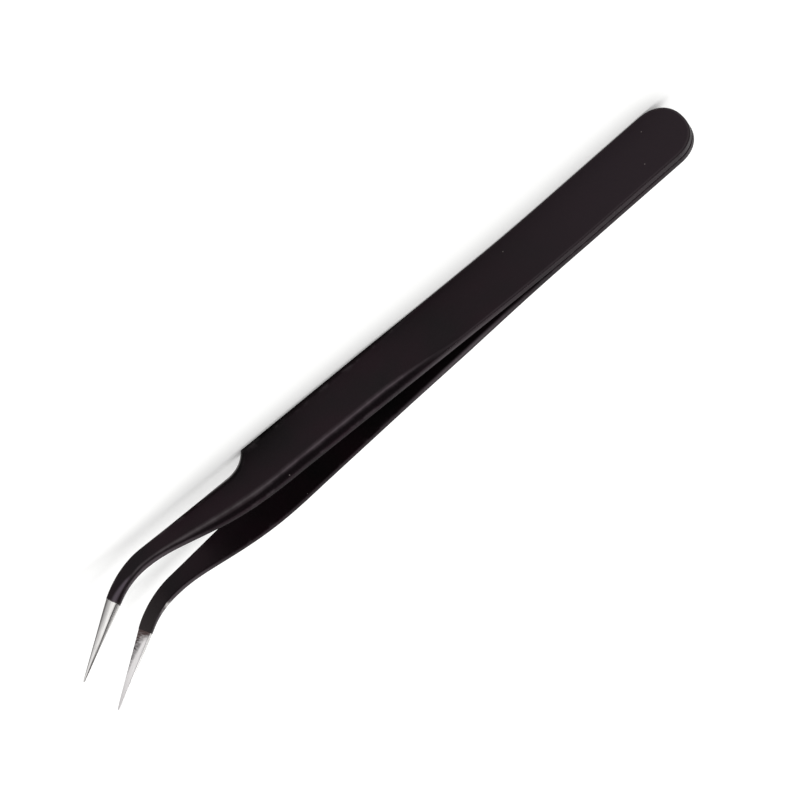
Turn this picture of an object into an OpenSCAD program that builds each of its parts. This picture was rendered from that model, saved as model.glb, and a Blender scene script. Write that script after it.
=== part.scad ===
// Curved precision tweezers: two ground steel leaves welded face to face at the tail.
// They stand on their straight back edges, with the curved tips pointing up.
// X runs from the tail to the tips, Y is the way the leaves open and Z runs across a leaf.

/* [Tail] */
// Width of the leaves at the tail, which ends in a half circle
tail_w = 9.8; // [8:0.1:12]
// Length over which the leaves lie flat on each other
weld_len = 23; // [16:0.5:30]
// Diameter of a spot weld
weld_d = 3.5; // [2:0.1:5]
// Thickness of a spot weld, shared by both leaves
weld_t = 0.6; // [0.3:0.05:0.8]

/* [Spring] */
// Thickness of the springing stretch
leaf_t = 1.15; // [0.9:0.05:1.5]
// Length of the springing stretch
spring_len = 21; // [17:0.5:30]
// Angle that each leaf is bent outwards after the weld
spring_bend_angle = 3.45; // [3:0.05:5]
// Length of that bend
spring_bend_len = 16; // [10:0.5:17]
// Small break along every edge of a leaf
edge_break = 0.15; // [0.05:0.01:0.2]

/* [Grip] */
// Length of the grip, from the springing stretch to the shoulder
grip_len = 37.2; // [28:0.2:50]
// Width at the front of the grip
grip_w = 9.2; // [8:0.1:11]
// Height of the side edge along the grip
grip_edge_t = 1.25; // [0.8:0.05:1.4]
// Rise of the flat finger face above the side edges
crown_rise = 0.45; // [0.2:0.05:0.7]
// Width of the bevel between a side edge and the finger face
bevel_w = 1.1; // [0.6:0.05:1.8]
// Length over which the bevel grows from nothing to its full width
crown_run = 17; // [10:0.5:24]

/* [Shoulder] */
// Radius of the hollow in the back edge, behind the neck
shoulder_r = 4.7; // [3:0.1:5.5]
// Steepness of that hollow at the shoulder corner
shoulder_angle = 60; // [45:1:65]

/* [Neck] */
// Length of the neck, from the hollow to its narrowest place
neck_len = 16.7; // [13:0.2:24]
// Width of the neck at its narrowest place
neck_w = 3.05; // [2.2:0.05:4]
// Height of the side edge there
neck_edge_t = 0.95; // [0.6:0.01:1]
// Rise of the outer face there
neck_rise = 0.3; // [0.1:0.01:0.45]
// Width of the bevel there
neck_bevel = 0.3; // [0.16:0.01:0.5]
// Stretch before the shoulder in which the belly edge starts to fall
belly_lead = 6; // [2:0.5:8]
// How late the belly edge falls towards the neck, 1 being evenly
belly_lag = 1.6; // [1:0.1:2]
// Angle that the neck is bent further outwards
neck_bend_angle = 2.2; // [0.5:0.01:2.5]
// Length of that bend
neck_bend_len = 8; // [5:0.5:12]

/* [Tip] */
// Radius of the curve in the neck
bend_r = 12.5; // [9:0.1:18]
// Angle that the tips point up
tip_angle = 35; // [20:1:50]
// Length of the bare steel tip
tip_len = 13.1; // [9:0.1:18]
// Width where the bare steel starts
tip_root_w = 2.5; // [1.8:0.05:3]
// Height of the side edge where the bare steel starts
tip_root_t = 0.7; // [0.4:0.01:0.85]
// Rise of the outer face where the bare steel starts
tip_root_rise = 0.2; // [0.1:0.01:0.3]
// Width of the bevel where the bare steel starts
tip_root_bevel = 0.25; // [0.16:0.01:0.4]
// Width at the very end
tip_end_w = 0.3; // [0.15:0.01:0.6]
// Height of the side edge at the very end
tip_end_t = 0.15; // [0.1:0.01:0.3]
// Rise of the outer face at the very end
tip_end_rise = 0.08; // [0.03:0.01:0.12]
// Angle that the tips are bent back towards each other
tip_bend_angle = 3.2; // [2:0.05:4]
// Length of that bend
tip_bend_len = 12; // [10:0.5:16]

/* [Hidden] */
$fn = 96;

coat = "#252223";
steel = "#c8c6c3";
weld_metal = "#9c9a97";

// Rings per stretch
spring_rings = 16;
grip_rings = 30;
hollow_rings = 14;
neck_rings = 20;
bend_rings = 14;
tip_rings = 10;

// Where the stretches meet, along X from the end of the tail
tail_r = tail_w / 2;
spring_end = weld_len + spring_len;
shoulder_x = spring_end + grip_len;
hollow_end = shoulder_x + shoulder_r * sin(shoulder_angle);
hollow_depth = shoulder_r * (1 - cos(shoulder_angle));
waist_x = hollow_end + neck_len;
waist_z = hollow_depth + neck_w / 2;
tip_root_x = waist_x + bend_r * sin(tip_angle);
tip_root_z = waist_z + bend_r * (1 - cos(tip_angle));
tip_end_x = tip_root_x + tip_len * cos(tip_angle);
overall_len = tip_end_x + tip_end_w / 2 * sin(tip_angle);
belly_x = shoulder_x - belly_lead;
tip_bend_x = waist_x - neck_bend_len / 2;
crown_end = spring_end + crown_run;

// A smooth step from 0 to 1 as u goes from 0 to 1
function clip(u) = min(max(u, 0), 1);
function ease(u) = let (c = clip(u)) c * c * (3 - 2 * c);

// Smooth travel through a table of [place, value] pairs
function glide(x, table, i = 0) =
  i >= len(table) - 1 ? table[len(table) - 1][1]
  : x < table[i + 1][0]
    ? table[i][1] + (table[i + 1][1] - table[i][1])
      * ease((x - table[i][0]) / (table[i + 1][0] - table[i][0]))
  : glide(x, table, i + 1);

// Offset at x made by a bend of the given angle that starts at x0 and ends run later
function bent(x, x0, run, angle) =
  let (u = (x - x0) / run)
  tan(angle) * run * (u < 0 ? 0 : u < 1 ? u * u / 2 : u - 0.5);

// Distance of a leaf's inner face from the middle plane
function inner(x) =
  bent(x, weld_len, spring_bend_len, spring_bend_angle)
  + bent(x, hollow_end, neck_bend_len, neck_bend_angle)
  - bent(x, tip_bend_x, tip_bend_len, tip_bend_angle);

// Back edge and belly edge up to the narrowest place of the neck
function back(x) =
  x <= shoulder_x ? 0
  : x >= hollow_end ? hollow_depth
  : hollow_depth - shoulder_r + sqrt(pow(shoulder_r, 2) - pow(hollow_end - x, 2));
function belly(x) =
  let (
    width = tail_w + (grip_w - tail_w) * clip((x - weld_len) / (belly_x - weld_len)),
    drop = grip_w - hollow_depth - neck_w,
    late = pow(clip((x - belly_x) / (waist_x - belly_x)), belly_lag)
  )
  width - drop * ease(late);

// Sizes of the cross-section, each as a table of [place, value] pairs
edge_table = [
  [spring_end, leaf_t], [crown_end, grip_edge_t], [hollow_end, grip_edge_t],
  [waist_x, neck_edge_t], [tip_root_x, tip_root_t], [tip_end_x, tip_end_t]
];
rise_table = [
  [spring_end, 0], [crown_end, crown_rise], [hollow_end, crown_rise],
  [waist_x, neck_rise], [tip_root_x, tip_root_rise], [tip_end_x, tip_end_rise]
];
bevel_table = [
  [spring_end, edge_break], [crown_end, bevel_w], [hollow_end, bevel_w],
  [waist_x, neck_bevel], [tip_root_x, tip_root_bevel], [tip_end_x, 0]
];

// A leaf's cross-section as [way across, height over the inner face] points
function section(x, w) =
  let (
    edge = glide(x, edge_table),
    top = edge + glide(x, rise_table),
    brk = min(edge_break, w / 8, edge / 5),
    bevel = max(brk, min(glide(x, bevel_table), w * 0.4))
  )
  [
    [brk, 0], [w - brk, 0], [w, brk], [w, edge - brk],
    [w - bevel, top], [bevel, top], [0, edge - brk], [0, brk]
  ];

// The ring of points round a leaf on the line between an edge's back and belly points
function ring(b, l) =
  let (w = norm(l - b), x = (b[0] + l[0]) / 2)
  [for (p = section(x, w)) let (q = b + (l - b) * p[0] / w) [q[0], -inner(q[0]) - p[1], q[1]]];
function upright_ring(x) = ring([x, back(x)], [x, belly(x)]);

// Rings square to the neck's curve, and then square to the tip
function slanted_ring(x, z, w, a) =
  let (across = [-sin(a), cos(a)] * w / 2)
  ring([x, z] - across, [x, z] + across);
function bend_ring(u) =
  slanted_ring(
    waist_x + bend_r * sin(tip_angle * u), waist_z + bend_r * (1 - cos(tip_angle * u)),
    neck_w + (tip_root_w - neck_w) * u, tip_angle * u);
function tip_ring(u) =
  slanted_ring(
    tip_root_x + tip_len * cos(tip_angle) * u, tip_root_z + tip_len * sin(tip_angle) * u,
    tip_root_w + (tip_end_w - tip_root_w) * u, tip_angle);

// The rings of each stretch, so that neighbours share the ring where they meet
function spring_stretch() =
  [for (i = [0:spring_rings]) upright_ring(weld_len + spring_len * i / spring_rings)];
function grip_stretch() = [
  for (i = [0:grip_rings]) upright_ring(spring_end + grip_len * i / grip_rings),
  for (i = [1:hollow_rings])
    upright_ring(hollow_end - shoulder_r * sin(shoulder_angle * (1 - i / hollow_rings)))
];
function neck_stretch() = [
  for (i = [0:neck_rings - 1]) upright_ring(hollow_end + neck_len * i / neck_rings),
  for (i = [0:bend_rings]) bend_ring(i / bend_rings)
];
function tip_stretch() = [for (i = [0:tip_rings]) tip_ring(i / tip_rings)];

// A closed skin over a list of rings
module loft(rings) {
  n = len(rings[0]);
  last = (len(rings) - 1) * n;
  sides = [
    for (i = [0:len(rings) - 2], j = [0:n - 1])
      [i * n + j, (i + 1) * n + j, (i + 1) * n + (j + 1) % n, i * n + (j + 1) % n]
  ];
  start = [for (j = [0:n - 1]) j];
  end = [for (j = [n - 1:-1:0]) last + j];
  polyhedron([for (r = rings) each r], concat(sides, [start, end]), convexity = 6);
}

// Brings the middle of the whole length over the origin
module centred() {
  translate([-overall_len / 2, 0, 0]) children();
}
module rear_side() {
  mirror([0, 1, 0]) children();
}

// The flat welded end of a leaf, with broken edges and half of each spot weld cut out
module tail_blank() {
  rim = [
    [0, 0], [tail_r - edge_break, 0], [tail_r, edge_break],
    [tail_r, leaf_t - edge_break], [tail_r - edge_break, leaf_t], [0, leaf_t]
  ];
  strip = [
    [edge_break, 0], [tail_w - edge_break, 0], [tail_w, edge_break],
    [tail_w, leaf_t - edge_break], [tail_w - edge_break, leaf_t], [edge_break, leaf_t],
    [0, leaf_t - edge_break], [0, edge_break]
  ];
  translate([tail_r, 0, tail_r]) rotate([90, 0, 0]) rotate_extrude() polygon(rim);
  translate([tail_r, 0, 0]) rotate([90, 0, 90])
    linear_extrude(weld_len - tail_r) rotate(90) polygon(strip);
}
module tail() {
  difference() {
    tail_blank();
    for (x = weld_places) spot_weld(x);
  }
}

// Spot welds, each a disc let into both leaves
weld_places = [tail_r + weld_d / 2, weld_len - weld_d];
module spot_weld(x) {
  translate([x, weld_t / 2, tail_r]) rotate([90, 0, 0]) cylinder(d = weld_d, h = weld_t);
}

module front_tail() { color(coat) centred() tail(); }
module rear_tail() { color(coat) centred() rear_side() tail(); }
module tail_weld() { color(weld_metal) centred() spot_weld(weld_places[0]); }
module spring_weld() { color(weld_metal) centred() spot_weld(weld_places[1]); }
module front_spring() { color(coat) centred() loft(spring_stretch()); }
module rear_spring() { color(coat) centred() rear_side() loft(spring_stretch()); }
module front_grip() { color(coat) centred() loft(grip_stretch()); }
module rear_grip() { color(coat) centred() rear_side() loft(grip_stretch()); }
module front_neck() { color(coat) centred() loft(neck_stretch()); }
module rear_neck() { color(coat) centred() rear_side() loft(neck_stretch()); }
module front_tip() { color(steel) centred() loft(tip_stretch()); }
module rear_tip() { color(steel) centred() rear_side() loft(tip_stretch()); }

front_tail();
rear_tail();
tail_weld();
spring_weld();
front_spring();
rear_spring();
front_grip();
rear_grip();
front_neck();
rear_neck();
front_tip();
rear_tip();
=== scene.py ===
from math import cos, pi, radians, sin, sqrt, tan

import bpy
import bmesh
from mathutils import Matrix, Vector


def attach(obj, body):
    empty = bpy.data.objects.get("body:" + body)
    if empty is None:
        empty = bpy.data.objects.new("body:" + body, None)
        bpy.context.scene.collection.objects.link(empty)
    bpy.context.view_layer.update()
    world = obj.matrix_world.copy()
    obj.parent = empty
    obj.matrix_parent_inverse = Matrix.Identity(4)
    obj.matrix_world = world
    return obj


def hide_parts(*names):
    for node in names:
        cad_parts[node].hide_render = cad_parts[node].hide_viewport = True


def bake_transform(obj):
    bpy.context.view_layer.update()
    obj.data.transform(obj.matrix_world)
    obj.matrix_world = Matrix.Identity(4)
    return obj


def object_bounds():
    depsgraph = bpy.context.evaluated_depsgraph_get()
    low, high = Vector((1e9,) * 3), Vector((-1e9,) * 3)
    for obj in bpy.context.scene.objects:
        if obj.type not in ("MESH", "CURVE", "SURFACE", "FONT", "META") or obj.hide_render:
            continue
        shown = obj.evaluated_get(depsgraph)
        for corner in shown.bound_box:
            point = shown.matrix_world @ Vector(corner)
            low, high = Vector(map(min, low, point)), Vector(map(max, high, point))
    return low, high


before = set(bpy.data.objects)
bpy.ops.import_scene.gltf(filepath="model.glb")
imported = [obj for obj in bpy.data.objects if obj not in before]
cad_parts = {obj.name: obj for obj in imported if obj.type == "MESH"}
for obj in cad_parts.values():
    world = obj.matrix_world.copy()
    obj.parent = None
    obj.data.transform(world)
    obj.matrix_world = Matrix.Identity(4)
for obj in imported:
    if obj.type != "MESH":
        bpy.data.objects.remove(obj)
cad_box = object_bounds()
MM = 0.001

# Sizes of a leaf, as in the solids
TAIL_W, WELD_LEN, LEAF_T = 9.8, 23.0, 1.15
SPRING_LEN, SPRING_BEND = 21.0, (3.45, 16.0)  # a bend is its angle in degrees and its length
EDGE_BREAK = 0.15
GRIP_LEN, GRIP_W, GRIP_EDGE_T = 37.2, 9.2, 1.25
CROWN_RISE, BEVEL_W, CROWN_RUN = 0.45, 1.1, 17.0
SHOULDER_R, SHOULDER_ANGLE = 4.7, radians(60)
NECK_LEN, NECK_W, NECK_EDGE_T, NECK_RISE, NECK_BEVEL = 16.7, 3.05, 0.95, 0.3, 0.3
BELLY_LEAD, BELLY_LAG, NECK_BEND = 6.0, 1.6, (2.2, 8.0)
BEND_R, TIP_ANGLE, TIP_LEN, TIP_BEND = 12.5, radians(35), 13.1, (3.2, 12.0)
TIP_ROOT = (2.5, 0.7, 0.2, 0.25)  # width, side edge, rise of the outer face, bevel
TIP_END = (0.3, 0.15, 0.08, 0.0)

TAIL_R = TAIL_W / 2
SPRING_END = WELD_LEN + SPRING_LEN
CROWN_END = SPRING_END + CROWN_RUN
SHOULDER_X = SPRING_END + GRIP_LEN
HOLLOW_END = SHOULDER_X + SHOULDER_R * sin(SHOULDER_ANGLE)
HOLLOW_DEPTH = SHOULDER_R * (1 - cos(SHOULDER_ANGLE))
WAIST_X = HOLLOW_END + NECK_LEN
WAIST_Z = HOLLOW_DEPTH + NECK_W / 2
TIP_ROOT_X = WAIST_X + BEND_R * sin(TIP_ANGLE)
TIP_END_X = TIP_ROOT_X + TIP_LEN * cos(TIP_ANGLE)
BELLY_X = SHOULDER_X - BELLY_LEAD
TIP_BEND_X = WAIST_X - NECK_BEND[1] / 2
BEND_LEN = BEND_R * TIP_ANGLE
TAIL_END = -(TIP_END_X + TIP_END[0] / 2 * sin(TIP_ANGLE)) / 2 * MM  # metres along X

# Sizes that only the looks need
TAIL_SQUARE = 2.22  # 2 is a half circle, and more makes the tail end fuller at its corners
TAIL_FIT = 0.9985  # keeps the round of the tail inside the facets of its solid
WORN = 0.05  # the outer edges of the tail and spring are broken this much more
GRIP_DRESSED = 0.3  # and the grip's belly bevel is dressed this much further down the side edge
EDGE_ROUND, GRIP_ROUND, RIDGE_ROUND = 0.1, 0.2, 0.22
COAT_T = 0.035  # the coating stands this proud of the bare steel
COAT_EDGE = {"front": (0.3, 0.75), "rear": (0.45, 0.8)}  # past the tip's root, at back and belly
LAP = 0.4  # the steel of a tip is carried on this far under the coating
RUB_AND_GLINT = {"rear": (104.2, 5.9)}  # where (x, z) the coating is rubbed thinner and a glint is painted, on the curve's belly edge
RUB_AND_GLINT_REACH = (0.8, 2.4)  # how far from there, towards the tail and towards the tip
TAIL_STEPS, HOLLOW_STEPS = 40, 26  # facets round the tail's end and round the hollow


def clip(u):
    """u, held between 0 and 1."""
    return min(max(u, 0.0), 1.0)


def ease(u):
    """Smooth travel from 0 to 1."""
    return clip(u) ** 2 * (3 - 2 * clip(u))


def glide(x, table):
    """Smooth travel through a table of (place, value) pairs."""
    for (x0, v0), (x1, v1) in zip(table, table[1:]):
        if x < x1:
            return v0 + (v1 - v0) * ease((x - x0) / (x1 - x0))
    return table[-1][1]


def along_leaf(tail, grip, waist, root, end):
    """Table for glide() from the values that a leaf has in those places."""
    return [(SPRING_END, tail), (CROWN_END, grip), (HOLLOW_END, grip), (WAIST_X, waist),
            (TIP_ROOT_X, root), (TIP_END_X, end)]


SIDE_EDGES = along_leaf(LEAF_T, GRIP_EDGE_T, NECK_EDGE_T, TIP_ROOT[1], TIP_END[1])
RISES = along_leaf(0.0, CROWN_RISE, NECK_RISE, TIP_ROOT[2], TIP_END[2])
BEVELS = along_leaf(EDGE_BREAK, BEVEL_W, NECK_BEVEL, TIP_ROOT[3], TIP_END[3])


def bent(x, x0, bend):
    """How far a bend that starts at x0 has led the leaf outwards at x."""
    angle, run = bend
    u = (x - x0) / run
    return tan(radians(angle)) * run * (0 if u < 0 else u * u / 2 if u < 1 else u - 0.5)


def inner_face(x):
    """How far from the middle plane the inner face lies."""
    return (bent(x, WELD_LEN, SPRING_BEND) + bent(x, HOLLOW_END, NECK_BEND)
            - bent(x, TIP_BEND_X, TIP_BEND))


def back_edge(x):
    """Height of the back edge: the straight, then the arc from the shoulder into the hollow."""
    if x <= SHOULDER_X:
        return 0.0
    if x >= HOLLOW_END:
        return HOLLOW_DEPTH
    return HOLLOW_DEPTH - SHOULDER_R + sqrt(SHOULDER_R ** 2 - (HOLLOW_END - x) ** 2)


def belly_edge(x):
    """Height of the belly edge, which turns in later than the back edge."""
    width = TAIL_W + (GRIP_W - TAIL_W) * clip((x - WELD_LEN) / (BELLY_X - WELD_LEN))
    late = clip((x - BELLY_X) / (WAIST_X - BELLY_X)) ** BELLY_LAG
    return width - (GRIP_W - HOLLOW_DEPTH - NECK_W) * ease(late)


def curve_edge(s, side):
    """Point (x, z) on the back (side -1) or belly (side 1) edge, s past the root of the tip."""
    u = min(s / BEND_LEN + 1, 1)
    a = TIP_ANGLE * u
    x, z = WAIST_X + BEND_R * sin(a), WAIST_Z + BEND_R * (1 - cos(a))
    w = NECK_W + (TIP_ROOT[0] - NECK_W) * u
    if s > 0:
        x, z = x + s * cos(a), z + s * sin(a)
        w += (TIP_END[0] - w) * s / TIP_LEN
    return Vector((x - side * sin(a) * w / 2, z + side * cos(a) * w / 2))


def section(x, w):
    """Points (way across, height over the inner face, 1 on an edge, 1 on a ridge) round a leaf: from
    the middle of the inner face by the belly edge, the outer face and the back edge."""
    edge = glide(x, SIDE_EDGES)
    top = edge + glide(x, RISES)
    brk = min(EDGE_BREAK, w / 8, edge / 5)
    outer = brk + glide(x, [(SPRING_END, WORN), (CROWN_END, 0.0)])
    dressed, eased = (glide(x, [(SPRING_END, v0), (CROWN_END, v1), (HOLLOW_END, v1), (WAIST_X, v0)])
                      for v0, v1 in ((0.0, GRIP_DRESSED), (EDGE_ROUND, GRIP_ROUND)))
    bevel = max(outer, min(glide(x, BEVELS), w * 0.4))
    # the belly's broken inner edge (0, 1), the foot (2) and ridge (3) of its bevel, then the back's
    corners = [Vector(c) for c in (
        (w - brk, 0), (w, brk), (w, edge - outer - dressed), (w - bevel, top),
        (bevel, top), (0, edge - outer), (0, brk), (brk, 0))]
    points = [(w / 2, 0.0, 0.0, 0.0)]
    for i, here in enumerate(corners):
        if i == 4:
            points.append((w / 2, top, 0.0, 0.0))
        ridge = i in (3, 4)
        back, on = corners[i - 1] - here, corners[(i + 1) % 8] - here
        # a rounding takes up less than half of the flat on either side of it
        far = RIDGE_ROUND if ridge else eased if i == 2 else EDGE_ROUND
        far = min(far, 0.42 * back.length, 0.42 * on.length)
        a, b = here + back.normalized() * far, here + on.normalized() * far
        # a point off the rounding at each end keeps the flats flat to the light
        off = [min(0.05 + 0.4 * bevel, (0.3 if ridge else 0.1) * side.length) for side in (back, on)]
        points.append((*(a + back.normalized() * off[0]), 0.0, 0.0))
        for t, much in ((0, 0.55), (0.25, 0.85), (0.5, 1.0), (0.75, 0.85), (1, 0.55)):
            p = a * (1 - t) ** 2 + here * 2 * t * (1 - t) + b * t * t
            points.append((*p, 0.0 if ridge else much, much if ridge else 0.0))
        points.append((*(b + on.normalized() * off[1]), 0.0, 0.0))
    return points


ROUND = len(section(0, TAIL_W))  # points in a ring
HALF = ROUND // 2  # the middle of the outer face


def ring(b, l, under=0.0, past=(-99.0, -99.0)):
    """Ring of points between back point b and belly point l: x, y, z, rim, ridge, way across, height,
    share of the way across and way past the coating's edge. under is how far it lies under the
    coating, and past is how far b and l are past its edge."""
    w = (l - b).length
    points = []
    shape = section((b.x + l.x) / 2, w)
    top = shape[HALF][1]
    for q, h, rim, ridge in shape:
        q = w / 2 + (q - w / 2) * (1 - 2 * under / w)
        h = under + h * (1 - 2 * under / top)
        p, share = b + (l - b) * q / w, q / w
        points.append((p.x, inner_face(p.x) + h, p.y, rim, ridge, q, h, share,
                       past[0] + (past[1] - past[0]) * share))
    return points


def upright(x):
    """Ring across the straight part of a leaf."""
    return ring(Vector((x, back_edge(x))), Vector((x, belly_edge(x))))


def across_curve(s_back, s_belly, under, coat_edge):
    """Ring across the curve or tip, between places given past the root of the tip."""
    past = s_back - coat_edge[0], s_belly - coat_edge[1]
    return ring(curve_edge(s_back, -1), curve_edge(s_belly, 1), under, past)


def steps(a, b, size):
    """Places from a up to but not including b, about size apart."""
    n = max(1, round((b - a) / size))
    return [a + (b - a) * i / n for i in range(n)]


def skin(name, rings, side, rub_and_glint=None, round_tail=False):
    """A closed mesh over rings, for the leaf on that side (-1 front, 1 rear), with marks on its
    points for the materials. rub is where (x, z) the coating is rubbed thinner and a glint is
    painted."""
    points = [p for r in rings for p in r]
    faces = []
    for i in range(len(rings) - 1):
        for j in range(ROUND):
            k = (j + 1) % ROUND
            faces.append([i * ROUND + j, i * ROUND + k, (i + 1) * ROUND + k, (i + 1) * ROUND + j])
    last = (len(rings) - 1) * ROUND
    faces.append([last + j for j in range(ROUND)])
    if round_tail:
        # the outer half of each ring turns about the tail's middle, fuller than a half circle
        before = list(range(HALF + 1))
        for k in range(1, TAIL_STEPS + 1):
            a = pi / 2 + pi * k / TAIL_STEPS
            full = (abs(cos(a)) ** TAIL_SQUARE + abs(sin(a)) ** TAIL_SQUARE) ** (-1 / TAIL_SQUARE)
            if k < TAIL_STEPS:
                here = [0] + list(range(len(points), len(points) + HALF - 1)) + [HALF]
                for _, y, z, rim, ridge, _, h, share, past in rings[0][1:HALF]:
                    r = (z - TAIL_R) * full
                    x, z = TAIL_R + TAIL_FIT * r * cos(a), TAIL_R + r * sin(a)
                    points.append((x, y, z, rim, ridge, z, h, share, past))
            else:
                here = [0] + [ROUND - j for j in range(1, HALF)] + [HALF]
            for j in range(HALF):
                quad = [before[j], before[j + 1], here[j + 1], here[j]]
                faces.append(list(dict.fromkeys(quad)))
            before = here
    else:
        faces.append([j for j in range(ROUND)])
    mesh = bpy.data.meshes.new(name)
    mesh.from_pydata([(TAIL_END + p[0] * MM, side * p[1] * MM, p[2] * MM) for p in points], [], faces)
    marks = {title: [p[i] for p in points]
             for title, i in (("rim", 3), ("ridge", 4), ("across", 7), ("past", 8))}
    if rub_and_glint:
        away = [Vector((p[0] - rub_and_glint[0], p[2] - rub_and_glint[1])) for p in points]
        marks["rub_and_glint"] = [clip(1 - d.length / RUB_AND_GLINT_REACH[d.x > 0]) for d in away]
    for title, values in marks.items():
        mesh.attributes.new(title, "FLOAT", "POINT").data.foreach_set("value", values)
    blank = mesh.attributes.new("blank", "FLOAT_VECTOR", "POINT")
    blank.data.foreach_set("vector", [c for p in points for c in (p[0], p[5], p[6])])
    work = bmesh.new()
    work.from_mesh(mesh)
    bmesh.ops.recalc_face_normals(work, faces=work.faces)
    work.to_mesh(mesh)
    work.free()
    mesh.shade_smooth()
    piece = bpy.data.objects.new(name, mesh)
    bpy.context.scene.collection.objects.link(piece)
    return piece


def coated_leaf(name, side):
    """One leaf from the round of its tail to the edge of its coating."""
    rings = [upright(x) for x in (
        steps(TAIL_R, WELD_LEN, 1.5) + steps(WELD_LEN, SPRING_END, 0.6)
        + steps(SPRING_END, SHOULDER_X, 0.6)
        + [HOLLOW_END - SHOULDER_R * sin(SHOULDER_ANGLE * (1 - i / HOLLOW_STEPS))
           for i in range(HOLLOW_STEPS)]
        + steps(HOLLOW_END, WAIST_X, 0.4))]
    at_back, at_belly = COAT_EDGE[name]
    rings += [across_curve(s, s, 0, COAT_EDGE[name]) for s in steps(-BEND_LEN, 0, 0.25)]
    # at its edge the coating rounds down on to the bare steel over its own thickness
    for t, under in ((0, 0), (0.25, 0), (0.5, 0), (0.75, 0), (0.96, 0), (0.985, 0.3 * COAT_T),
                     (1, COAT_T), (1.01, 1.4 * COAT_T)):
        rings.append(across_curve(at_back * t, at_belly * t, under, COAT_EDGE[name]))
    leaf = skin(name + "_leaf", rings, side, RUB_AND_GLINT.get(name), round_tail=True)
    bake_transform(leaf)
    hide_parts(*(name + part for part in ("_tail", "_spring", "_grip", "_neck")))
    return leaf


def bare_tip(name, side):
    """The ground steel tip, from under the edge of the coating to its point."""
    at_back, at_belly = COAT_EDGE[name]
    rings = []
    for t in steps(0, 0.08, 0.01) + steps(0.08, 0.94, 0.03) + [0.94, 0.96, 0.975, 0.985, 0.993, 1]:
        b = at_back - LAP + (TIP_LEN - at_back + LAP) * t
        l = at_belly - LAP + (TIP_LEN - at_belly + LAP) * t
        # the last tenth is honed to a point
        fine = 0.035 * clip((t - 0.9) / 0.1) + 0.03 * clip((t - 0.985) / 0.015) ** 2
        rings.append(across_curve(b, l, COAT_T * (1 - t) + fine, COAT_EDGE[name]))
    tip = skin(name + "_tip_steel", rings, side)
    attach(tip, name + "_arm")
    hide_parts(name + "_tip")
    return tip


def linear(colour):
    """An sRGB hex colour as Blender's linear one."""
    parts = [int(colour[i:i + 2], 16) / 255 for i in (1, 3, 5)]
    return (*(c / 12.92 if c <= 0.04045 else ((c + 0.055) / 1.055) ** 2.4 for c in parts), 1.0)


def node(tree, kind, sockets=None, **settings):
    """Adds a node with its settings. A socket's value is a constant or the output it is linked to."""
    made = tree.nodes.new(kind)
    for name, value in settings.items():
        setattr(made, name, value)
    for name, value in (sockets or {}).items():
        if isinstance(value, bpy.types.NodeSocket):
            tree.links.new(value, made.inputs[name])
        else:
            made.inputs[name].default_value = value
    return made


def new_material(name):
    """An empty material and its node tree."""
    made = bpy.data.materials.new(name)
    made.use_nodes = True
    made.node_tree.nodes.clear()
    return made, made.node_tree


def marked(t, name):
    """A number that skin() has put on the points of a mesh."""
    return node(t, "ShaderNodeAttribute", attribute_name=name).outputs["Fac"]


def noise(t, place, apart, detail):
    """Noise whose crests lie about that far apart."""
    made = node(t, "ShaderNodeTexNoise", {"Vector": place, "Scale": 1 / apart, "Detail": detail})
    return made.outputs["Fac"]


def maths(t, operation, *values, clamp=False):
    """One operation on one, two or three values."""
    made = node(t, "ShaderNodeMath", dict(enumerate(values)), operation=operation, use_clamp=clamp)
    return made.outputs[0]


def times(t, value, *factors):
    """The product of values."""
    for factor in factors:
        value = maths(t, "MULTIPLY", value, factor)
    return value


def ramp(t, value, start, end, low=0.0, high=1.0, kind="LINEAR"):
    """Low up to the start, high from the end on. The end may be the smaller of the two."""
    made = node(t, "ShaderNodeMapRange", {0: value, 1: start, 2: end, 3: low, 4: high},
                interpolation_type=kind)
    return made.outputs[0]


def within(t, amount, *limits):
    """The amount faded by each limit: (value, where nothing is left, where all is left)."""
    return times(t, amount, *(ramp(t, *limit) for limit in limits))


def mixed(t, amount, low, high):
    """A colour from low at 0 to high at 1. Each is an sRGB hex colour or an output."""
    low, high = (linear(c) if isinstance(c, str) else c for c in (low, high))
    return node(t, "ShaderNodeMix", {0: amount, 6: low, 7: high}, data_type="RGBA").outputs[2]


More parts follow.
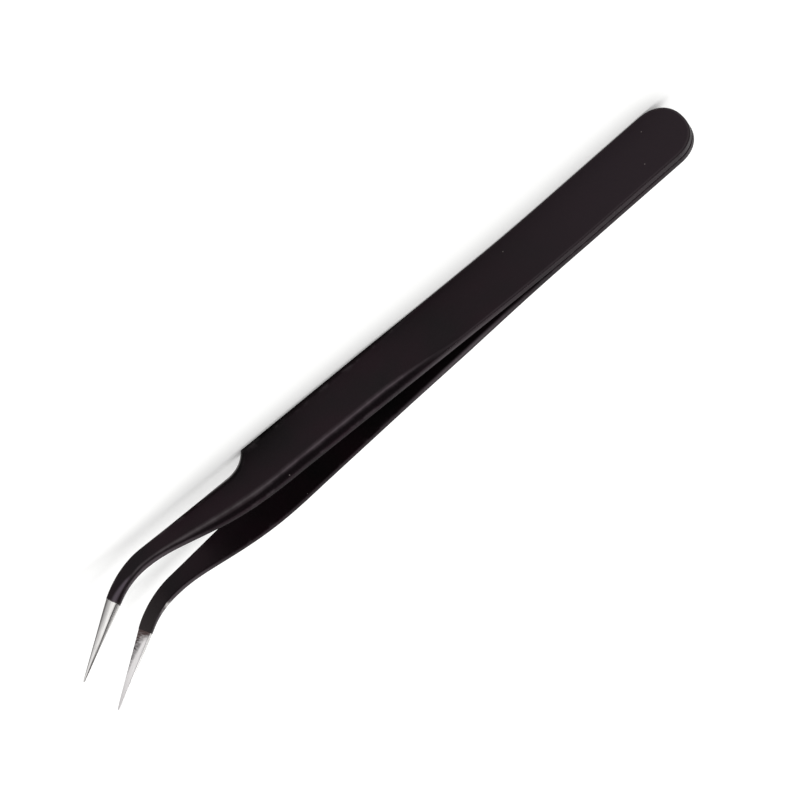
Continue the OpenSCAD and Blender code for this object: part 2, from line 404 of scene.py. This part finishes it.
def sprayed_epoxy():
    """Carbon-filled anti-static epoxy, sprayed and baked on steel: nearly black with a faint warm and
    cool drift and a fine orange peel, with highlights painted paler along its ridges and edges, shade
    painted on its bevels, and a few specks of dust.
    The tones follow the photograph, and the causes named beside them are the likely ones. Places
    along a leaf are from the tail end: the grip is 44 to 81, the hollow and neck are 81 to 102."""
    material, t = new_material("antistatic_epoxy_sprayed_satin")
    blank = node(t, "ShaderNodeAttribute", attribute_name="blank").outputs["Vector"]
    place = node(t, "ShaderNodeSeparateXYZ", {0: blank}).outputs
    along, height = place["X"], place["Z"]
    rim, ridge, rub_and_glint, across, past = (
        marked(t, name) for name in ("rim", "ridge", "rub_and_glint", "across", "past"))
    # flank is 1 on the side edges and face is 1 between them
    flank = maths(t, "ABSOLUTE", maths(t, "SUBTRACT", across, 0.5))
    flank = ramp(t, flank, 0.46, 0.49)
    face = maths(t, "SUBTRACT", 1.0, flank)
    outer = ramp(t, height, 0.5, 0.7)
    # the spray drifts in thickness over about 9 mm
    drift = ramp(t, noise(t, blank, 9, 2.0), 0.35, 0.65)
    black = mixed(t, drift, "#170b10", "#0c0b0b")
    # the faces of the tail are a little paler, fading out by 50 mm along the leaf
    tail = ramp(t, along, 50.0, 8.0, kind="SMOOTHSTEP")
    black = mixed(t, times(t, tail, face), black, "#211a1e")
    # grains of filler, about 0.05 mm in a real coating, drawn at 0.25 mm so that they show
    grain = noise(t, blank, 0.25, 3.0)
    black = mixed(t, ramp(t, grain, 0.45, 0.75, high=0.4), black, "#1d181b")
    # painted shade: the belly bevel of the grip and neck is painted near black, the blackest place,
    # where it reflects little light
    bevel_shade = ramp(t, across, 0.87, 0.91, high=0.8)
    bevel_shade = within(t, bevel_shade, (along, 44.0, 54.0), (height, 0.3, 0.5), (past, -6.5, -9.0))
    black = mixed(t, times(t, bevel_shade, face), black, "#040203")
    # painted highlight: the belly's ridge along the grip and neck is painted paler, in patches about
    # 2 mm long
    patch = ramp(t, noise(t, blank, 2.0, 3.0), 0.3, 0.7, 0.65, 1.0)
    ridge_highlight = within(t, times(t, patch, ridge), (along, 30.0, 46.0), (across, 0.4, 0.6),
                    (across, 0.94, 0.89), (past, -3.5, -5.5))
    grey = mixed(t, ramp(t, along, 76.0, 86.0), "#554c51", "#4f4a4c")
    black = mixed(t, maths(t, "POWER", ridge_highlight, 1.3), black, grey)
    # the coating thins towards its edge, over the last 0.4 mm outside and 7 mm on the inner face
    reach = ramp(t, height, 0.3, 0.1, 0.4, 7.0)
    thinned = ramp(t, maths(t, "DIVIDE", past, reach), -1.0, 0.0, high=0.8)
    black = mixed(t, thinned, black, "#33302f")
    # painted highlight: the pale line leaves the ridge before the coating's edge, spreads and bends
    # inwards
    turn = ramp(t, past, -4.8, -0.7, 0.85, 0.65)
    width = ramp(t, past, -4.8, -0.7, 0.14, 0.28)
    streak_highlight = maths(t, "ABSOLUTE", maths(t, "SUBTRACT", across, turn))
    streak_highlight = ramp(t, maths(t, "DIVIDE", streak_highlight, width), 1.0, 0.1, high=0.9, kind="SMOOTHSTEP")
    streak_highlight = within(t, streak_highlight, (past, -5.2, -3.8), (height, 0.4, 0.6), (across, 0.91, 0.83))
    black = mixed(t, streak_highlight, black, "#585058")
    # painted sheen: the side edges of the neck and curve are painted paler, and so are the spring's,
    # from 34 to 62 mm along the leaf
    neck = ramp(t, along, 92.0, 99.0)
    spring = within(t, 1.0, (along, 34.0, 44.0), (along, 62.0, 50.0), (height, 0.85, 0.45))
    side_sheen = within(t, maths(t, "MAXIMUM", neck, spring), (past, 0.0, -4.0))
    black = mixed(t, times(t, side_sheen, flank), black, "#3e383b")
    # the edges are scuffed here and there, and a highlight is painted along the outer edges of the
    # tail and spring
    painted_rim_highlight = times(t, ramp(t, along, 56.0, 44.0, high=0.5), outer)
    scuff_and_rim_highlight = maths(t, "MAXIMUM", ramp(t, patch, 0.85, 0.95, high=0.35), painted_rim_highlight)
    scuff_and_rim_highlight = times(t, scuff_and_rim_highlight, maths(t, "MAXIMUM", rim, ridge))
    black = mixed(t, scuff_and_rim_highlight, black, "#453f42")
    # painted highlight: the last 0.4 mm of the bevel round the hollow after the shoulder is painted
    # pale grey, as its lit rim
    hollow = within(t, outer, (along, 80.8, 82.5), (along, 91.0, 86.0), (across, 0.08, 0.045))
    black = mixed(t, hollow, black, "#7b7778")
    # specks of dust 0.2 mm across, in one out of twenty cells of 3 mm
    cell = node(t, "ShaderNodeTexVoronoi", {"Vector": blank, "Scale": 1 / 3.0},
                voronoi_dimensions="2D").outputs
    lot = node(t, "ShaderNodeSeparateColor", {"Color": cell["Color"]}).outputs[0]
    dust = times(t, maths(t, "LESS_THAN", cell["Distance"], 0.03),
                 maths(t, "GREATER_THAN", lot, 0.95), face)
    black = mixed(t, dust, black, "#67615f")
    # outside, the coating's very edge is chipped by up to 0.16 mm
    chips = ramp(t, noise(t, blank, 0.35, 2.0), 0.35, 0.65, high=0.16)
    chips = ramp(t, maths(t, "ADD", chips, past), 0.0, 0.05)
    black = mixed(t, times(t, chips, outer), black, "#a7a4a2")
    # where the curve's edge is rubbed, the steel greys the coating in ragged flecks, which also carry
    # a painted glint on that edge
    flecks = ramp(t, noise(t, blank, 0.7, 4.0), 0.35, 0.6, high=1.5)
    rub_and_glint_flecks = maths(t, "POWER", times(t, rub_and_glint, flank, flecks), 1.5, clamp=True)
    colour = mixed(t, rub_and_glint_flecks, black, "#b3b0ae")
    # satin shine, uneven at the size of the grains, and duller on the scuffs and on the painted rim
    # highlight
    gloss = maths(t, "MULTIPLY_ADD", scuff_and_rim_highlight, 0.15, ramp(t, grain, 0.3, 0.7, 0.36, 0.48))
    # orange peel with 0.6 mm between its crests
    peel = node(t, "ShaderNodeBump", {"Height": noise(t, blank, 0.6, 1.0), "Distance": 0.006 * MM})
    peel = node(t, "ShaderNodeBump", {"Height": grain, "Distance": 0.0015 * MM,
                                      "Normal": peel.outputs[0]})
    shader = node(t, "ShaderNodeBsdfPrincipled", {
        "Base Color": colour, "Roughness": gloss, "Normal": peel.outputs[0],
        "Specular IOR Level": 0.12, "Specular Tint": linear("#ffe7f6"), "IOR": 1.5})
    node(t, "ShaderNodeOutputMaterial", {"Surface": shader.outputs[0]})
    return material


def streaks(t, place, run, width, depth):
    """Noise in streaks of that run along the tip, width across its root and depth into it."""
    lay = node(t, "ShaderNodeVectorMath", {0: place, 1: (1 / run, TIP_ROOT[0] / width, 1 / depth)},
               operation="MULTIPLY")
    return noise(t, lay.outputs[0], 1.0, 3.0)


def ground_stainless():
    """Martensitic stainless steel, ground lengthwise on a fine wheel: pale grey with hair lines
    along the tip. The coating's overspray lies on the inner face as a brownish grain. The tones
    follow the photograph, and the causes named beside them are the likely ones."""
    material, t = new_material("stainless_steel_ground_lengthwise")
    blank = node(t, "ShaderNodeAttribute", attribute_name="blank").outputs["Vector"]
    height = node(t, "ShaderNodeSeparateXYZ", {0: blank}).outputs["Z"]
    rim, ridge, across, past = (marked(t, name) for name in ("rim", "ridge", "across", "past"))
    place = node(t, "ShaderNodeCombineXYZ", {"X": past, "Y": across, "Z": height}).outputs[0]
    # grinding lines, about 0.01 mm apart on a real tip, drawn 0.12 mm apart so that they show
    lines = streaks(t, place, 5, 0.12, 0.12)
    steel = mixed(t, ramp(t, lines, 0.3, 0.7), "#d4d2d1", "#fbf9f8")
    # painted shade: darker towards the back edge, and most of all near the coating
    start = ramp(t, past, 3.0, 7.5, 0.2, 0.05)
    shaded_steel = mixed(t, ramp(t, past, 3.0, 7.5), "#807e7e", "#9d9b9b")
    steel = mixed(t, ramp(t, across, start, 0.67), shaded_steel, steel)
    # and finer, so more even, on the inner face
    inner = ramp(t, height, 0.16, 0.08, high=0.8)
    steel = mixed(t, inner, steel, "#d8d5d6")
    # painted shade: the ridges and the bevels beside them are darker, most of all at the back
    outer = ramp(t, height, 0.14, 0.24)
    ridge_shade = maths(t, "POWER", ridge, 1.5)
    side = times(t, ramp(t, across, 0.88, 0.94), outer)
    back = times(t, ramp(t, across, 0.26, 0.12), outer)
    # the side edge is darker, except towards the point
    coarse = ramp(t, past, 2.0, 9.0, 1.0, 0.3)
    flank = times(t, ramp(t, across, 0.965, 0.985), outer, coarse)
    # near the point the belly's bevel narrows into one dark line of painted shade, and the inner face
    # darkens
    line = maths(t, "ABSOLUTE", maths(t, "SUBTRACT", across, 0.82))
    line = within(t, ramp(t, line, 0.24, 0.04), (past, 5.0, 9.5), (height, 0.1, 0.2))
    point = times(t, ramp(t, past, 7.0, 12.0, high=0.6), inner)
    for amount, colour in ((side, "#adabaa"), (flank, "#83817f"), (ridge_shade, "#767372"),
                           (back, "#4f4c4b"), (line, "#5c5958"), (point, "#a09d9e")):
        steel = mixed(t, amount, steel, colour)
    # overspray on the inner face: a band 1.7 mm wide beside the coating, narrower at the belly
    band = maths(t, "ADD", past, ramp(t, across, 0.7, 0.95, high=0.5))
    band = ramp(t, band, 1.75, 0.05, kind="SMOOTHSTEP")
    # and a drift that reaches 10 mm past it along the back edge and less towards the belly
    reach = ramp(t, across, 0.0, 0.9, 9.7, 0.55)
    thick = ramp(t, across, 0.0, 0.9, 1.1, 0.28)
    drift = maths(t, "DIVIDE", maths(t, "ADD", past, 0.6), reach)
    drift = ramp(t, maths(t, "POWER", drift, 2.0), 1.0, 0.0)
    spray = maths(t, "MAXIMUM", band, times(t, drift, thick))
    # both in ripples 0.25 mm apart and 0.8 mm long across the tip, which part over the first 1.5 mm
    gaps = ramp(t, past, 0.0, 1.5, 1.0, 0.5)
    grit = ramp(t, streaks(t, place, 0.25, 0.8, 0.3), 0.35, 0.65, gaps, 1.5)
    for part in (grit, ramp(t, height, 0.16, 0.08)):
        spray = maths(t, "MULTIPLY", spray, part, clamp=True)
    # heat from baking browns the band, and the drift is greyer
    brown = mixed(t, ramp(t, past, 0.8, 3.0), "#432f2e", "#393235")
    colour = mixed(t, spray, steel, brown)
    # the inner edges are broken by hand with a stone, which leaves them matt, as the spray is
    stoned = maths(t, "SUBTRACT", 1.0, times(t, rim, inner))
    clean = times(t, maths(t, "SUBTRACT", 1.0, spray), stoned)
    dull = maths(t, "MULTIPLY_ADD", spray, 0.3, ramp(t, lines, 0.3, 0.7, 0.26, 0.38))
    relief = node(t, "ShaderNodeBump", {"Height": lines, "Distance": 0.002 * MM})
    relief = node(t, "ShaderNodeBump", {"Height": spray, "Distance": 0.01 * MM,
                                        "Normal": relief.outputs[0]})
    shader = node(t, "ShaderNodeBsdfPrincipled", {
        "Base Color": colour, "Metallic": clean, "Roughness": dull, "Normal": relief.outputs[0]})
    node(t, "ShaderNodeOutputMaterial", {"Surface": shader.outputs[0]})
    return material


def weld_steel():
    """The same steel, melted and set again under a round electrode: dull, with a coarse mottle."""
    material, t = new_material("stainless_steel_spot_weld_as_set")
    place = node(t, "ShaderNodeTexCoord").outputs["Object"]
    # grains of the cast metal, about 0.3 mm
    cast = noise(t, place, 0.3 * MM, 3.0)
    pits = node(t, "ShaderNodeBump", {"Height": cast, "Distance": 0.01 * MM})
    shader = node(t, "ShaderNodeBsdfPrincipled", {
        "Base Color": mixed(t, cast, "#86827e", "#aeaaa6"), "Metallic": 1.0,
        "Roughness": ramp(t, cast, 0.3, 0.7, 0.45, 0.6), "Normal": pits.outputs[0]})
    node(t, "ShaderNodeOutputMaterial", {"Surface": shader.outputs[0]})
    return material


def seen_as_background(t):
    """1 for the rays that show the background itself: a camera's, a shine's and those through
    glass."""
    path = node(t, "ShaderNodeLightPath").outputs
    seen = maths(t, "MAXIMUM", path["Is Camera Ray"], path["Is Glossy Ray"])
    return maths(t, "MAXIMUM", seen, path["Is Transmission Ray"])


def pale_floor():
    """Matt white board, a little lifted where it is the background, so that it is white away from
    the shadow."""
    material, t = new_material("matt_white_board")
    white = node(t, "ShaderNodeBsdfDiffuse", {"Color": linear("#f2f2f1")})
    glow = node(t, "ShaderNodeEmission", {"Strength": times(t, seen_as_background(t), 0.2)})
    both = node(t, "ShaderNodeAddShader", {0: white.outputs[0], 1: glow.outputs[0]})
    node(t, "ShaderNodeOutputMaterial", {"Surface": both.outputs[0]})
    return material


def matt_card(name, colour):
    """Matt card of one colour."""
    material, t = new_material(name)
    flat = node(t, "ShaderNodeBsdfDiffuse", {"Color": linear(colour)})
    node(t, "ShaderNodeOutputMaterial", {"Surface": flat.outputs[0]})
    return material


def gauze(name, colour, half_length, cover):
    """Gauze of one colour, open at its end towards the tail and closing to that cover over 16 mm."""
    material, t = new_material(name)
    place = node(t, "ShaderNodeTexCoord").outputs["Object"]
    place = node(t, "ShaderNodeSeparateXYZ", {0: place}).outputs["X"]
    closed = ramp(t, place, -half_length * MM, (16 - half_length) * MM, high=cover)
    gap = node(t, "ShaderNodeBsdfTransparent")
    thread = node(t, "ShaderNodeBsdfDiffuse", {"Color": linear(colour)})
    both = node(t, "ShaderNodeMixShader", {0: closed, 1: gap.outputs[0], 2: thread.outputs[0]})
    node(t, "ShaderNodeOutputMaterial", {"Surface": both.outputs[0]})
    return material


def board(name, middle, half, material):
    """A flat sheet of the studio, with its half width and half length, in metres."""
    mesh = bpy.data.meshes.new(name)
    w, l = half
    mesh.from_pydata([(-w, -l, 0), (w, -l, 0), (w, l, 0), (-w, l, 0)], [], [(0, 1, 2, 3)])
    mesh.materials.append(material)
    sheet = bpy.data.objects.new(name, mesh)
    sheet.location = middle
    bpy.context.scene.collection.objects.link(sheet)
    return sheet


def studio():
    """White board to the horizon, an even white room and a soft lamp above. The shine of the leaves
    also shows a soft lamp at the rear and a black card in front, and the black and grey gauze on the
    board, which shows only in that shine, is painted shade under and beside the leaves."""
    # the gauze lies in the 0.02 mm between the floor and the part
    floor = board("floor", (0, 0, cad_box[0][2] - 0.02 * MM), (4.0, 4.0), pale_floor())
    front = board("black_card_front", (0, -0.9, 0.78), (0.9, 0.78),
                  matt_card("matt_black_card", "#0a0a0a"))
    front.rotation_euler = (pi / 2, 0, 0)
    # painted shade: black gauze under the leaves towards their tips, seen only in the shine, darkens
    # what they reflect of the board
    below = board("black_gauze_below", (22 * MM, 0, cad_box[0][2] - 0.01 * MM), (14 * MM, 9.5 * MM),
                  gauze("black_gauze", "#0a0a0a", 14, 0.9))
    # painted shade: a strip along the foot of the front leaf, seen only in the shine, darkens what
    # its back bevel reflects
    strip = board("grey_gauze_below", (-4 * MM, -2.74 * MM, cad_box[0][2] - 0.015 * MM),
                  (22 * MM, 1.1 * MM), gauze("grey_gauze", "#808080", 22, 1.0))
    strip.rotation_euler = (0, 0, radians(-4.4))
    for card in (front, below, strip):
        card.visible_camera = card.visible_diffuse = False
        card.visible_transmission = card.visible_shadow = False

    world = bpy.data.worlds.new("even_white_room")
    bpy.context.scene.world = world
    world.use_nodes = True
    t = world.node_tree
    t.nodes.clear()
    # the room lights the part at 0.62 and shows white, at 1.0, as the background
    level = ramp(t, seen_as_background(t), 0.0, 1.0, 0.62, 1.0)
    sky = node(t, "ShaderNodeBackground", {"Color": (1, 1, 1, 1), "Strength": level})
    node(t, "ShaderNodeOutputWorld", {"Surface": sky.outputs[0]})

    for name, place, size, power in (
            ("soft_lamp_above", (-0.1, 0.0, 1.1), 1.0, 7.0),
            ("soft_lamp_rear", (-0.5, 1.0, 0.42), 0.7, 3.2)):
        lamp = bpy.data.lights.new(name, "AREA")
        lamp.shape, lamp.size, lamp.energy = "SQUARE", size, power
        stand = bpy.data.objects.new(name, lamp)
        stand.location = place
        stand.rotation_euler = Vector(place).to_track_quat("Z", "Y").to_euler()
        stand.visible_diffuse = name == "soft_lamp_above"
        bpy.context.scene.collection.objects.link(stand)


def camera():
    """From the front, 34 degrees above the floor, rolled so that the leaves lie slanting."""
    lens = bpy.data.cameras.new("camera")
    lens.sensor_width, lens.lens = 36.0, 167.0
    lens.clip_start, lens.clip_end = 0.01, 20.0
    eye = bpy.data.objects.new("camera", lens)
    up, roll = radians(34), radians(138.75)
    far, target = 545.0, Vector((-1.263, 1.949, 7.690))  # millimetres
    turned = Matrix.Rotation(pi / 2 - up, 4, "X") @ Matrix.Rotation(roll, 4, "Z")
    place = (target + Vector((0, -cos(up), sin(up))) * far) * MM
    eye.matrix_world = Matrix.Translation(place) @ turned
    bpy.context.scene.collection.objects.link(eye)
    bpy.context.scene.camera = eye


camera()
studio()
coat, steel, weld = sprayed_epoxy(), ground_stainless(), weld_steel()
for name, side in (("front", -1), ("rear", 1)):
    coated_leaf(name, side).data.materials.append(coat)
    bare_tip(name, side).data.materials.append(steel)
for name in ("tail_weld", "spring_weld"):
    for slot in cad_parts[name].material_slots:
        slot.material = weld

bpy.context.scene.view_settings.view_transform = "Standard"
